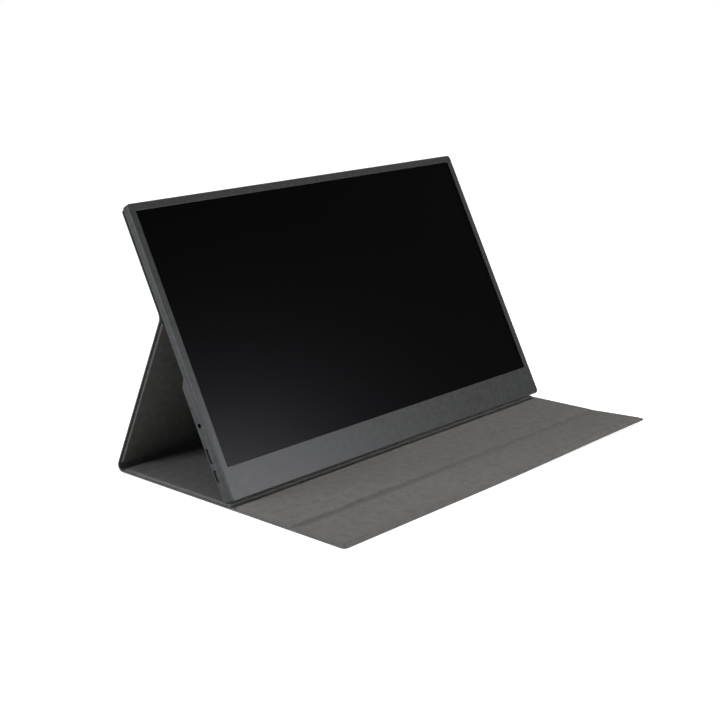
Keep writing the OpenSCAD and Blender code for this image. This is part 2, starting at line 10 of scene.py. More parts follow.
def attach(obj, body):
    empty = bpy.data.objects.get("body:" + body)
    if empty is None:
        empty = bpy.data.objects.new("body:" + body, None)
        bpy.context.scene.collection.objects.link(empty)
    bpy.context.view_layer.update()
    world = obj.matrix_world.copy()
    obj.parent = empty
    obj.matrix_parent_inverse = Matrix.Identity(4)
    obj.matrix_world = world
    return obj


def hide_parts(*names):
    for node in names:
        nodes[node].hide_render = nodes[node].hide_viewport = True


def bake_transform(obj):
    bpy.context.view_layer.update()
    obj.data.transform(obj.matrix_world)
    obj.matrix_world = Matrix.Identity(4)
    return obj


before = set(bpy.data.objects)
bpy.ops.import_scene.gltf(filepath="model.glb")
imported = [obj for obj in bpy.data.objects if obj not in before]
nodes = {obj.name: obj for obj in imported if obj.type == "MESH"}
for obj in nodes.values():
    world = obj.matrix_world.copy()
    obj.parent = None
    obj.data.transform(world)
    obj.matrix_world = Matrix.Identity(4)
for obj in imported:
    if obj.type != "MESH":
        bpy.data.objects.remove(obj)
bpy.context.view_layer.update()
scene = bpy.context.scene
MM = 0.001

# ---------------------------------------------------------------- sizes of the real object
SCREEN_W, SCREEN_H = 344.2, 193.6
BEZEL_SIDE, BEZEL_TOP, CHIN = 5.9, 6.0, 24.5
BODY_W = SCREEN_W + 2 * BEZEL_SIDE
BODY_H = CHIN + SCREEN_H + BEZEL_TOP
HALF_W = BODY_W / 2
RECESS, THIN, THICK = 1.1, 5.8, 10.8
FRAME_DEPTH, SIDE_WALL, BACK_WALL = 2.0, 1.0, 0.8
CORNER_R, BOTTOM_R = 3.0, 3.0
PANEL, SKIN, LEAF = 2.5, 0.5, 1.0
# A panel's thin border, and how far the lining takes to climb from it, at a side and at a fold
RIM, RIM_RUN, FOLD_RUN = 2.7, 1.0, 0.5
STANDING_RIM = 1.7                      # the strut and the base are pulled taut over their boards
LOOSE_RIM, LOOSE_RUN = 1.5, 2.2         # elsewhere the lining is looser, and slopes gently
SPINE_TOP = 2.2                         # the spine's lining lies a little lower than a panel's
CURL, CURL_X = 2.2, -40                 # lift of the front flap's right corner, and where it starts
CURL_COLUMNS, CURL_ROWS = 16, 4         # strips that the lifted part is cut into
FLAP_R, TOP_R, SEAM_R = 3.5, 2.5, 0.2
SEAT_GAP, PANEL_GAP = 0.3, 0.1
STRUT_LEN, FOLD_V, FOLD_HALF, TOP_SHORT = 140.3, 140.0, 4.0, 1.7
BEND_R, SPINE, BASE, CREASE, REST = 5.0, 21.3, 105.25, 0.8, 3.3
GROOVE_1, MID, GROOVE_2, FRONT = 4.5, 56.7, 6.3, 45.3
SOCKET_T, USB_W, HDMI_W = 3.2, 8.94, 11.2
USB_V, HDMI_V = 21.1, 35.9
# The gold contacts in a socket: length, thickness, how deep they start and how far off the middle they lie
PAD_LEN, PAD_T, PAD_IN, PAD_OFF = 3.6, 0.06, 3.2, 0.36
# The black tongue: how deep it starts, half its thickness, and the margins beside it and beside the contacts
TONGUE_IN, TONGUE_HALF, TONGUE_SIDE, ROW_SIDE = 0.5, 0.5, 1.1, 1.7

# The lean follows from the triangle of back, strut and floor
fold_in = PANEL - LEAF / 2
fold_d = THIN + PANEL_GAP + fold_in
stand_d = SPINE + BASE - REST
rise = SEAT_GAP + BOTTOM_R
back_len = hypot(FOLD_V - BOTTOM_R, fold_d - (THICK - BOTTOM_R))
floor_len = hypot(stand_d, rise)
LEAN = (pi / 2 - atan2(fold_d - (THICK - BOTTOM_R), FOLD_V - BOTTOM_R) + atan2(rise, stand_d)
        - acos((back_len ** 2 + floor_len ** 2 - STRUT_LEN ** 2) / (2 * back_len * floor_len)))
edge_z = PANEL + SEAT_GAP + BOTTOM_R - BOTTOM_R * cos(LEAN) + (THICK - BOTTOM_R) * sin(LEAN)
stand_y = (THICK - BOTTOM_R) * cos(LEAN) + BOTTOM_R * sin(LEAN)
fold_y = FOLD_V * sin(LEAN) + fold_d * cos(LEAN)
fold_z = edge_z + FOLD_V * cos(LEAN) - fold_d * sin(LEAN)
pivot_y = stand_y + stand_d
STRUT_A = atan2(fold_z - PANEL, pivot_y - fold_y) - asin(fold_in / STRUT_LEN)
strut_s = (STRUT_LEN ** 2 - fold_in ** 2) ** 0.5
bend_off = (BEND_R - PANEL) / tan(STRUT_A / 2)
bend_y = pivot_y - bend_off
crease_y = pivot_y - SPINE
base_y0 = crease_y - BASE
mid_y1 = base_y0 - GROOVE_1
mid_y0 = mid_y1 - MID
front_y1 = mid_y0 - GROOVE_2
front_y0 = front_y1 - FRONT
middle_y = (front_y0 + bend_y + BEND_R) / 2


# ---------------------------------------------------------------- places
def on_floor(x, y, z):
    """A point given in millimetres: y from the monitor's front bottom edge, z from the floor."""
    return Vector((x, y - middle_y, z)) * MM


def in_monitor(x, depth, up):
    """A point of the leaning monitor: depth from its front face, up from its bottom edge."""
    return on_floor(x, up * sin(LEAN) + depth * cos(LEAN), edge_z + up * cos(LEAN) - depth * sin(LEAN))


DEEPER = Vector((0, cos(LEAN), -sin(LEAN)))
UPWARDS = Vector((0, sin(LEAN), cos(LEAN)))


def on_strut(x, along, z):
    """A point of the strut: along from its lower fold, z from its outer side inwards."""
    out = PANEL - z
    return on_floor(x, pivot_y - along * cos(STRUT_A) + out * sin(STRUT_A),
                    PANEL + along * sin(STRUT_A) + out * cos(STRUT_A))


def on_back(x, up, z):
    """A point of the panel on the monitor's back: z from its outer side towards the monitor."""
    return in_monitor(x, THIN + PANEL_GAP + PANEL - z, up)


# ---------------------------------------------------------------- camera
EYE = (-769.55, -693.52, 345.68)                # in the measures of on_floor
FOCAL, PICTURE, SENSOR = 1382.88, 720, 36       # focal length and picture in pixels, sensor in millimetres


def set_camera():
    """Stands at the left in front of the object and looks a little down on it."""
    yaw, pitch, roll = radians(-46.17), radians(-14.75), radians(-1.39)
    ahead = Vector((-sin(yaw) * cos(pitch), cos(yaw) * cos(pitch), sin(pitch)))
    right = Vector((cos(yaw), sin(yaw), 0))
    up = right.cross(ahead)
    right, up = right * cos(roll) + up * sin(roll), up * cos(roll) - right * sin(roll)
    camera = bpy.data.objects.new("camera", bpy.data.cameras.new("camera"))
    turn = Matrix((right, up, -ahead)).transposed()
    camera.matrix_world = Matrix.Translation(on_floor(*EYE)) @ turn.to_4x4()
    camera.data.sensor_width = SENSOR
    camera.data.lens = FOCAL / PICTURE * SENSOR
    camera.data.clip_start, camera.data.clip_end = 0.05, 50
    scene.collection.objects.link(camera)
    scene.camera = camera


set_camera()


# ---------------------------------------------------------------- materials
def linear(code):
    """An sRGB hex colour as linear RGBA."""
    parts = [int(code[i:i + 2], 16) / 255 for i in (1, 3, 5)]
    return [c / 12.92 if c <= 0.04045 else ((c + 0.055) / 1.055) ** 2.4 for c in parts] + [1.0]


def add(tree, kind, inputs=None, **settings):
    """Adds a node; each input is a value or the socket that feeds it."""
    made = tree.nodes.new("ShaderNode" + kind)
    for name, value in settings.items():
        setattr(made, name, value)
    for name, value in (inputs or {}).items():
        if isinstance(value, bpy.types.NodeSocket):
            tree.links.new(value, made.inputs[name])
        else:
            made.inputs[name].default_value = value
    return made


def surface(name, roughness, **constants):
    """A new material: its node tree, its shader and the object's own coordinates."""
    made = bpy.data.materials.new(name)
    made.use_nodes = True
    tree = made.node_tree
    tree.nodes.clear()
    shader = add(tree, "BsdfPrincipled", {"Roughness": roughness})
    for key, value in constants.items():
        shader.inputs[key.replace("_", " ")].default_value = value
    add(tree, "OutputMaterial", {"Surface": shader.outputs[0]})
    return made, tree, shader, add(tree, "TexCoord").outputs["Object"]


def finish_of(tree, shader, value, low, high, rough=None):
    """Lets a 0 to 1 value blend two sRGB colours and, where they are given, two roughnesses."""
    colour = add(tree, "Mix", {0: value, 6: linear(low), 7: linear(high)}, data_type="RGBA")
    tree.links.new(colour.outputs[2], shader.inputs["Base Color"])
    if rough:
        shine = add(tree, "MapRange", {"Value": value, "To Min": rough[0], "To Max": rough[1]})
        tree.links.new(shine.outputs["Result"], shader.inputs["Roughness"])


def relief(tree, shader, height, strength, distance):
    """Raises the surface by a height value, up to a distance in metres."""
    bump = add(tree, "Bump", {"Height": height, "Strength": strength, "Distance": distance})
    tree.links.new(bump.outputs[0], shader.inputs["Normal"])


def mean(tree, first, second):
    """The sum of two values, and their mean."""
    total = add(tree, "Math", {0: first, 1: second}, operation="ADD").outputs[0]
    return total, add(tree, "Math", {0: total, 1: 0.5}, operation="MULTIPLY").outputs[0]


def coated_metal(name, low, high):
    """Aluminium with a fine matte coat: even charcoal, with a faint sand grain and a soft gloss."""
    made, tree, shader, where = surface(name, 0.4, Specular_IOR_Level=0.05)
    # the grain of such a coat is about 0.2 mm; it is drawn at 0.9 mm so that it shows
    grain = add(tree, "TexNoise", {"Vector": where, "Scale": 1100.0, "Detail": 3.0}).outputs["Fac"]
    cloud = add(tree, "TexNoise", {"Vector": where, "Scale": 220.0, "Detail": 3.0}).outputs["Fac"]
    total, half = mean(tree, grain, cloud)
    finish_of(tree, shader, half, low, high, (0.3, 0.5))
    relief(tree, shader, total, 0.35, 0.00006)
    return made


def display_glass(name):
    """Polarised display glass with an anti-glare etch: almost black, with a wide dim gloss."""
    made, tree, shader, where = surface(name, 0.27, Specular_IOR_Level=0.011,
                                        Specular_Tint=(0.92, 0.88, 1, 1))
    etch = add(tree, "TexNoise", {"Vector": where, "Scale": 900.0, "Detail": 2.0}).outputs["Fac"]
    finish_of(tree, shader, etch, "#020202", "#030303", (0.25, 0.3))
    return made


def coated_cloth(name):
    """Polyurethane-coated cloth, embossed as fine leather: dark grey, pebbled, softly shining."""
    made, tree, shader, where = surface(name, 0.5, Specular_IOR_Level=0.45)
    # pebbles are about 0.6 mm on such a cover; they are drawn at 1.1 mm so that they show
    pebble = add(tree, "TexVoronoi", {"Vector": where, "Scale": 900.0}, feature="SMOOTH_F1")
    cloud = add(tree, "TexNoise", {"Vector": where, "Scale": 25.0, "Detail": 4.0}).outputs["Fac"]
    finish_of(tree, shader, cloud, "#333537", "#3d3f41", (0.46, 0.58))
    relief(tree, shader, pebble.outputs["Distance"], 0.5, 0.00012)
    return made


def microfibre(name, low, high):
    """Brushed microfibre lining: warm mid grey, without gloss, with a soft nap and faint mottling."""
    made, tree, shader, where = surface(name, 0.95, Specular_IOR_Level=0.03, Sheen_Weight=0.06,
                                        Sheen_Roughness=0.5)
    # the nap's tufts are about 0.3 mm; they are drawn at 1 mm so that they show
    tufts = {"Vector": where, "Scale": 1000.0, "Detail": 4.0, "Roughness": 0.65}
    tuft = add(tree, "TexNoise", tufts).outputs["Fac"]
    cloud = add(tree, "TexNoise", {"Vector": where, "Scale": 200.0, "Detail": 5.0}).outputs["Fac"]
    half = mean(tree, tuft, cloud)[1]
    finish_of(tree, shader, half, low, high)
    relief(tree, shader, tuft, 0.4, 0.0001)
    return made


def bare_metal(name, low, high, rough):
    """Plated sheet metal: full reflections, blurred by fine rolling marks."""
    made, tree, shader, where = surface(name, rough, Metallic=1.0)
    marks = add(tree, "TexNoise", {"Vector": where, "Scale": 400.0, "Detail": 3.0}).outputs["Fac"]
    finish_of(tree, shader, marks, low, high, (rough - 0.05, rough + 0.07))
    return made


def moulded(name, low, high, rough):
    """Moulded plastic or board: even colour with a fine spark-eroded grain of about 0.5 mm."""
    made, tree, shader, where = surface(name, rough)
    grain = add(tree, "TexNoise", {"Vector": where, "Scale": 700.0, "Detail": 3.0}).outputs["Fac"]
    finish_of(tree, shader, grain, low, high, (rough - 0.05, rough + 0.08))
    relief(tree, shader, grain, 0.2, 0.00005)
    return made


coat = coated_metal("matte_coated_aluminium", "#181919", "#4a4b4b")
# the chamfer's coat is painted lighter than the frame's: a painted highlight standing in for the glint along
# the front edge
chamfer_highlight = coated_metal("matte_coated_chamfer_painted_highlight", "#3a3b3b", "#5e5f5f")
glass = display_glass("anti_glare_display_glass")
leather = coated_cloth("embossed_polyurethane_cloth")
nap = microfibre("brushed_microfibre", "#4d4b49", "#888683")
# round a board the lining's border and climb are painted darker: painted shade along the edges. The flaps'
# sides get a milder painted shade than the rest
shaded_nap = microfibre("microfibre_painted_shade", "#3f3d3c", "#706e6c")
half_shaded_nap = microfibre("microfibre_half_painted_shade", "#434140", "#777573")
nickel = bare_metal("nickel_plated_steel", "#a7a9ab", "#c2c4c6", 0.3)
# the sockets' and the jack's plating is painted near black: painted shade standing for the dark inside their
# mouths
shaded_nickel = bare_metal("nickel_darkened_as_painted_shade", "#2c2d2f", "#38393b", 0.4)
gold = bare_metal("gold_plated_contacts", "#c79a45", "#e0b65c", 0.25)
tongue_black = moulded("black_nylon", "#0c0d0e", "#161719", 0.5)
button_coat = moulded("satin_charcoal_plastic", "#3f4245", "#4a4d50", 0.4)
wheel_black = moulded("black_soft_plastic", "#1a1b1d", "#252628", 0.6)
board_mask = moulded("green_solder_mask", "#174331", "#1f5740", 0.4)
film = moulded("amber_polyimide_film", "#a9752a", "#c28c3c", 0.35)
cream = moulded("cream_nylon", "#d6d0bf", "#e4dfd0", 0.5)
white_sheet = moulded("white_reflector_film", "#dadcdf", "#eceef0", 0.6)
greyboard = moulded("pressed_grey_board", "#8d867a", "#a39b8d", 0.9)

for names, finish in (
        (("lcd_glass",), glass),
        (("backlight",), white_sheet),
        (("keeper_plate", "board_screws", "chin_magnets", "top_magnets"), nickel),
        # the jack's ring takes the darkened plating: painted shade
        (("port_audio",), shaded_nickel),
        (("driver_board", "key_board"), board_mask),
        (("ribbon_cable",), film),
        (("panel_connector",), cream),
        (("speaker_left", "speaker_right", "power_switch", "wheel_switch", "wheel_carrier"),
         tongue_black),
        (("menu_wheel",), wheel_black),
        (("top_board", "strut_board", "spine_board", "base_board", "mid_board"), greyboard)):
    for name in names:
        nodes[name].data.materials.clear()
        nodes[name].data.materials.append(finish)


# ---------------------------------------------------------------- mesh helpers
def finished(name, bm, finishes, sharp=35):
    """Makes an object of a bmesh, with outward normals and smooth shading up to a sharp angle."""
    bmesh.ops.recalc_face_normals(bm, faces=bm.faces)
    mesh = bpy.data.meshes.new(name)
    bm.to_mesh(mesh)
    bm.free()
    for finish in finishes:
        mesh.materials.append(finish)
    mesh.shade_smooth()
    mesh.set_sharp_from_angle(angle=radians(sharp))
    made = bpy.data.objects.new(name, mesh)
    scene.collection.objects.link(made)
    return made


def loft(rings, place, closed=False, into=None, finish=0):
    """A skin over rings of points with as many points each; closed joins the last ring to the first."""
    bm = into or bmesh.new()
    rows = [[bm.verts.new(place(*p)) for p in ring] for ring in rings]
    pairs = list(zip(rows, rows[1:])) + ([(rows[-1], rows[0])] if closed else [])
    faces = [(a[i], a[(i + 1) % len(a)], b[(i + 1) % len(a)], b[i]) for a, b in pairs for i in range(len(a))]
    if not closed:
        faces += [rows[0][::-1], rows[-1]]
    for face in faces:
        bm.faces.new(face).material_index = finish
    return bm


def plate(w, y0, y1, r0, r1, steps=8):
    """Outline of a plate w wide from y0 to y1, with corner radius r0 at y0 and r1 at y1."""
    points = []
    for cx, cy, r, a in ((w / 2 - r1, y1 - r1, r1, 0), (r1 - w / 2, y1 - r1, r1, 90),
                         (r0 - w / 2, y0 + r0, r0, 180), (w / 2 - r0, y0 + r0, r0, 270)):
        for i in range(steps + 1):
            t = radians(a + 90 * i / steps)
            points.append((cx + r * cos(t), cy + r * sin(t)))
    return points


def refined(node, name, width, finishes, segments=2):
    """A copy of a CAD node with its loose triangles merged and its edges softly rounded."""
    bm = bmesh.new()
    bm.from_mesh(nodes[node].data)
    bmesh.ops.remove_doubles(bm, verts=bm.verts, dist=1e-6)
    bmesh.ops.dissolve_limit(bm, angle_limit=radians(0.5), verts=bm.verts, edges=bm.edges)
    mesh = bpy.data.meshes.new(name)
    bm.to_mesh(mesh)
    bm.free()
    made = bpy.data.objects.new(name, mesh)
    scene.collection.objects.link(made)
    bevel = made.modifiers.new("edges", "BEVEL")
    bevel.width, bevel.segments, bevel.limit_method = width * MM, segments, "ANGLE"
    bevel.angle_limit, bevel.use_clamp_overlap, bevel.harden_normals = radians(40), True, False
    flat = bpy.data.meshes.new_from_object(made.evaluated_get(bpy.context.evaluated_depsgraph_get()))
    made.modifiers.clear()
    made.data = flat
    flat.materials.clear()
    for finish in finishes:
        flat.materials.append(finish)
    flat.shade_smooth()
    flat.set_sharp_from_angle(angle=radians(35))
    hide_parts(node)
    return made


# ---------------------------------------------------------------- monitor
# the faces found by this slope take the lighter coat: a painted highlight
CHAMFER = (0.3, 0.9)        # a face belongs to the front chamfer where its slope lies between these


def make_front_frame():
    """The front frame: one closed ring with a chamfered rim, painted lighter as a highlight, and a fine
    rolled edge round the display.
    """
    def rim(inset, depth):
        r = max(CORNER_R - inset, 0.4)
        return [(x, depth, up) for x, up in plate(BODY_W - 2 * inset, inset, BODY_H - inset, r, r)]

    def window(grow, depth):
        return [(x, depth, up) for x, up in plate(SCREEN_W + 2 * grow, CHIN - grow, CHIN + SCREEN_H + grow,
                                                  0.3 + grow, 0.3 + grow)]

    side = [rim(0.06, FRAME_DEPTH), rim(0.01, FRAME_DEPTH - 0.06), rim(0, FRAME_DEPTH - 0.2), rim(0, 0.9)]
    chamfer = [rim(0.07, 0.7), rim(0.6, 0.14), rim(0.78, 0.02), rim(1.0, 0), rim(1.3, 0)]
    edge = [window(0.4, 0), window(0.25, 0), window(0.07, 0.06), window(0, 0.25), window(0, RECESS - 0.02)]
    inside = [window(0.5, RECESS - 0.02), rim(SIDE_WALL, RECESS), rim(SIDE_WALL, FRAME_DEPTH)]
    rings = side + chamfer + edge + inside
    made = finished("front_frame", loft(rings, in_monitor, closed=True), [coat, chamfer_highlight])
    # the chamfer's faces get the lighter coat, a painted highlight
    for face in made.data.polygons:
        if CHAMFER[0] < abs(face.normal.dot(DEEPER)) < CHAMFER[1]:
            face.material_index = 1
    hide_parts("front_bezel")
    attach(made, "monitor")


make_front_frame()
shell = refined("rear_shell", "back_shell", 0.15, [coat])
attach(shell, "monitor")


def make_socket(node, name, side, width, up, contacts):
    """A socket with a plated shell, a black tongue and a row of gold contacts on it."""
    # the shell takes the darkened plating: painted shade inside the mouth
    made = refined(node, name, 0.08, [shaded_nickel, tongue_black], segments=1)
    depth = THICK - BACK_WALL - SOCKET_T / 2
    middle = in_monitor(side * HALF_W, depth, up)
    for face in made.data.polygons:
        off = face.center - middle
        if (side * off.x < -TONGUE_IN * MM and abs(off.dot(DEEPER)) < TONGUE_HALF * MM
                and abs(off.dot(UPWARDS)) < (width / 2 - TONGUE_SIDE) * MM):
            face.material_index = 1
    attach(made, "monitor")

    tree = bpy.data.node_groups.new("contact_row", "GeometryNodeTree")
    for label, kind, way in (("Count", "Int", "INPUT"), ("Pitch", "Float", "INPUT"),
                             ("Pad", "Vector", "INPUT"), ("Geometry", "Geometry", "OUTPUT")):
        tree.interface.new_socket(label, in_out=way, socket_type="NodeSocket" + kind)
    entry, leave = tree.nodes.new("NodeGroupInput"), tree.nodes.new("NodeGroupOutput")
    line = tree.nodes.new("GeometryNodeMeshLine")
    offset = tree.nodes.new("ShaderNodeCombineXYZ")
    pad = tree.nodes.new("GeometryNodeMeshCube")
    copies = tree.nodes.new("GeometryNodeInstanceOnPoints")
    real = tree.nodes.new("GeometryNodeRealizeInstances")
    paint = tree.nodes.new("GeometryNodeSetMaterial")
    paint.inputs["Material"].default_value = gold
    for a, b in ((entry.outputs["Count"], line.inputs["Count"]), (entry.outputs["Pitch"], offset.inputs["X"]),
                 (offset.outputs[0], line.inputs["Offset"]), (entry.outputs["Pad"], pad.inputs["Size"]),
                 (line.outputs[0], copies.inputs["Points"]), (pad.outputs[0], copies.inputs["Instance"]),
                 (copies.outputs[0], real.inputs[0]), (real.outputs[0], paint.inputs[0]),
                 (paint.outputs[0], leave.inputs[0])):
        tree.links.new(a, b)
    pitch = (width - 2 * ROW_SIDE) / (contacts - 1)
    holder = bpy.data.objects.new(name + "_contacts", bpy.data.meshes.new("line"))
    scene.collection.objects.link(holder)
    rows = holder.modifiers.new("row", "NODES")
    rows.node_group = tree
    sizes = {"Count": contacts, "Pitch": pitch, "Pad": (pitch / 2, PAD_T, PAD_LEN)}
    for item in tree.interface.items_tree:
        if item.in_out == "INPUT":
            rows[item.identifier] = sizes[item.name]
    pads = bpy.data.meshes.new_from_object(holder.evaluated_get(bpy.context.evaluated_depsgraph_get()))
    holder.modifiers.clear()
    holder.data = pads
    start = -(contacts - 1) * pitch / 2
    for v in pads.vertices:
        along, off, inward = v.co
        v.co = in_monitor(side * (HALF_W - PAD_IN + inward), depth - PAD_OFF + off, up + start + along)
    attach(holder, "monitor")


make_socket("port_usb_c_left", "charging_socket_left", -1, USB_W, USB_V, 12)
make_socket("port_usb_c_right", "charging_socket_right", 1, USB_W, USB_V, 12)
make_socket("port_hdmi", "picture_socket", -1, HDMI_W, HDMI_V, 10)
key = refined("power_button", "power_key_cap", 0.15, [button_coat])
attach(key, "power_key")


# ---------------------------------------------------------------- cover panels
# Both sheets of a panel as rings from below to above: how far in from a free edge, and how high
SKIN_EDGE = [(0.5, 0), (0.25, 0.01), (0.08, 0.08), (0, 0.22), (0, SKIN - 0.03), (0.03, SKIN), (0.5, SKIN)]
BORDER = [(0.5, SKIN), (0.03, SKIN), (0, SKIN + 0.03), (0, LEAF - 0.2), (0.06, LEAF - 0.07), (0.2, LEAF)]
# The slope up over the board, as how much of it is climbed: across and upwards
SLOPE = [(-0.25, 0), (0, 0.03), (0.15, 0.14), (0.5, 0.5), (0.85, 0.86), (1.0, 0.96), (1.2, 0.995), (1.6, 1)]
STEP = 0.01             # how far apart the rings lie at an end that runs into a fold
FOLD_FOOT = 0.2         # where the climb starts at such an end


def make_panel(part, body, place, y0, y1, r0, r1, free0=False, free1=False, rim=RIM, run=RIM_RUN,
               top=PANEL, flush0=False, flush1=False, border_shade=shaded_nap, shade_sides_only=False, shaped=None):
    """One stiff panel: a skin sheet, and a lining that lies on it round the edge, climbs over a run inside
    a rim and covers the board. At a flush end the lining keeps its full height up to the next panel.
    The lining's border and climb take a darker finish as painted shade, all round or only at the two sides,
    and shaped bends the finished sheets."""
    def ring(side, end0, end1, z):
        return [(x, y, z) for x, y in plate(BODY_W - 2 * side, y0 + end0, y1 - end1,
                                            max(r0 - end0, 0.1), max(r1 - end1, 0.1))]

    def rings(edge, climbs=()):
        # at an end that runs into a fold the rings stay together, and only the slope draws in
        made = [ring(d, d if free0 else STEP * k, d if free1 else STEP * k, z)
                for k, (d, z) in enumerate(edge)]
        for k, (across, up) in enumerate(climbs, len(edge)):
            side, end = rim + run * across, STEP * len(edge) + FOLD_FOOT + FOLD_RUN * across
            made.append(ring(side, side if free0 else STEP * k if flush0 else end,
                             side if free1 else STEP * k if flush1 else end, LEAF + (top - LEAF) * up))
        return made

    foot = (rim - 0.3 * run - 0.3, LEAF)            # the border lies flat up to here
    lining = rings(BORDER + [foot], SLOPE)
    for name, node, sheet, finishes, slot in (
            (part + "_wrap", part + "_skin", rings(SKIN_EDGE), [leather], "cover_skin"),
            (part + "_nap", part + "_lining", lining, [nap, border_shade], "cover_lining")):
        bm = loft(sheet, place)
        if border_shade in finishes:
            # the lining's border and climb get the darker finish: painted shade
            bm.faces.ensure_lookup_table()
            # every band of faces but the last two, which lie level with the field
            for face in bm.faces[:(len(sheet) - 3) * len(sheet[0])]:
                at_side = abs(face.calc_center_median().x) > (HALF_W - rim - run) * MM
                face.material_index = 1 if at_side or not shade_sides_only else 0
        made = finished(name, bm, finishes)
        if shaped:
            shaped(made)
        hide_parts(node)
        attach(made, body)


def curl(x, y):
    """How far the front flap's free right corner stands up at a point: a gentle twist of the flap."""
    out = min(max((front_y1 - y) / FRONT, 0), 1)
    side = min(max((x - CURL_X) / (HALF_W - CURL_X), 0), 1)
    return CURL * out * side * side * (3 - 2 * side)


def curl_up(piece):
    """Cuts a flat piece of the front flap into strips and lifts them with the curl."""
    bm = bmesh.new()
    bm.from_mesh(piece.data)
    cuts = [(on_floor(CURL_X + (HALF_W - CURL_X) * i / CURL_COLUMNS, 0, 0), (1, 0, 0))
            for i in range(CURL_COLUMNS)]
    cuts += [(on_floor(0, front_y1 - FRONT * i / CURL_ROWS, 0), (0, 1, 0)) for i in range(1, CURL_ROWS)]
    for place, normal in cuts:
        every = bm.verts[:] + bm.edges[:] + bm.faces[:]
        bmesh.ops.bisect_plane(bm, geom=every, plane_co=place, plane_no=normal)
    for v in bm.verts:
        v.co.z += curl(v.co.x / MM, v.co.y / MM + middle_y) * MM
    bm.to_mesh(piece.data)
    bm.free()


make_panel("top", "top_panel", on_back, FOLD_V + FOLD_HALF, BODY_H - TOP_SHORT, SEAM_R, TOP_R, free1=True)
make_panel("strut", "strut", on_strut, bend_off, strut_s - FOLD_HALF, SEAM_R, SEAM_R, rim=STANDING_RIM)
make_panel("spine", "base", on_floor, crease_y + CREASE / 2, bend_y, SEAM_R, SEAM_R, rim=LOOSE_RIM,
           run=LOOSE_RUN, top=SPINE_TOP, flush0=True)
make_panel("base", "base", on_floor, base_y0, crease_y - CREASE / 2, SEAM_R, SEAM_R, rim=STANDING_RIM,
           flush1=True)
# the flaps' sides take a milder painted shade
make_panel("mid", "mid_flap", on_floor, mid_y0, mid_y1, SEAM_R, SEAM_R, rim=LOOSE_RIM, run=LOOSE_RUN,
           border_shade=half_shaded_nap, shade_sides_only=True)
make_panel("front", "front_flap", on_floor, front_y0, front_y1, FLAP_R, SEAM_R, free0=True, rim=LOOSE_RIM,
           run=LOOSE_RUN, border_shade=half_shaded_nap, shade_sides_only=True, shaped=curl_up)
for node, name, finish, slot in (("front_board", "front_flap_board", greyboard, "stiff_board"),
                                 ("front_magnets", "front_flap_magnets", nickel, "magnet_nickel")):
    inside = refined(node, name, 0.05, [finish], segments=1)
    curl_up(inside)
    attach(inside, "front_flap")


# ---------------------------------------------------------------- folds
LAP = 0.4               # how far both ends of a fold reach under the panels' sheets
FOLD_SHY = 0.02         # how far a fold stays inside the panels' sides
CREASE_RISE = 1.15      # how far the lining bridges the crease above the leaf


def make_fold(name, node, path, raised=0):
    """A fold of the bare leaf, skin below and lining above. A path point is on the leaf's middle: its
    (y, z) and the way (y, z) to the lining's side. A raised lining bridges the fold that much higher,
    apart from the rim at each side, and the leaf thins out a little towards its sides."""
    first, second, last, before = path[0], path[1], path[-1], path[-2]
    for end, other, at in ((first, second, 0), (last, before, len(path) + 1)):
        way = Vector((-end[1][1], end[1][0]))
        away = way if way.dot(Vector(end[0]) - Vector(other[0])) > 0 else -way
        path.insert(at, (tuple(Vector(end[0]) + away * LAP), end[1]))
    half = HALF_W - FOLD_SHY
    # a station's place across, its share of the leaf's thickness and its share of the raise
    stations = [(-half, 0.75, 0), (-half + 0.1, 0.92, 0), (-half + 0.3, 0.97, 0),
                (-half + STANDING_RIM, 0.97, 0), (-half + STANDING_RIM + RIM_RUN, 0.97, 1)]
    stations += [(-x, s, lift) for x, s, lift in stations[::-1]]
    bm = bmesh.new()
    for finish, low, high in ((0, -LEAF / 2, 0), (1, 0, LEAF / 2)):
        rings = []
        for x, s, lift in stations:
            top = (high + (raised * lift if high > 0 else 0)) * s
            upper = [(x, p[0] + n[0] * top, p[1] + n[1] * top) for p, n in path]
            lower = [(x, p[0] + n[0] * low * s, p[1] + n[1] * low * s) for p, n in path]
            rings.append(upper + lower[::-1])
        loft(rings, on_floor, into=bm, finish=finish)
    made = finished(name, bm, [leather, nap], sharp=50)
    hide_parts(node)
    return made


def flat(y0, y1, steps=14):
    """A leaf that lies flat on the floor."""
    return [((y0 + (y1 - y0) * i / steps, LEAF / 2), (0, 1)) for i in range(steps + 1)]


def bent(cy, cz, r, a0, a1, side, steps=28):
    """A leaf bent round a centre; side is 1 where its lining lies away from the centre, -1 towards it."""
    path = []
    for i in range(steps + 1):
        a = a0 + (a1 - a0) * i / steps
        path.append(((cy + r * cos(a), cz + r * sin(a)), (side * cos(a), side * sin(a))))
    return path


piece = make_fold("first_groove", "groove_strip_1", flat(mid_y1, base_y0))
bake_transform(piece)
piece = make_fold("second_groove", "groove_strip_2", flat(front_y1, mid_y0))
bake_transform(piece)
piece = make_fold("crease_fold", "crease_strip",
                  flat(crease_y - CREASE / 2, crease_y + CREASE / 2, 2), CREASE_RISE)
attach(piece, "base")
piece = make_fold("rear_bend", "bend_strip",
                  bent(bend_y, BEND_R, BEND_R - LEAF / 2, -pi / 2, pi / 2 - STRUT_A, -1))
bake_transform(piece)

# The upper fold bends round a centre behind it, and starts and ends FOLD_HALF from the fold line
turn = pi - STRUT_A - (pi / 2 - LEAN)
fold_r = FOLD_HALF / tan(turn / 2)
centre = (fold_y + cos(STRUT_A) * FOLD_HALF + sin(STRUT_A) * fold_r,
          fold_z - sin(STRUT_A) * FOLD_HALF + cos(STRUT_A) * fold_r)
piece = make_fold("upper_fold", "fold_strip",
                  bent(*centre, fold_r, 3 * pi / 2 - STRUT_A, 3 * pi / 2 - STRUT_A - turn, 1))
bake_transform(piece)


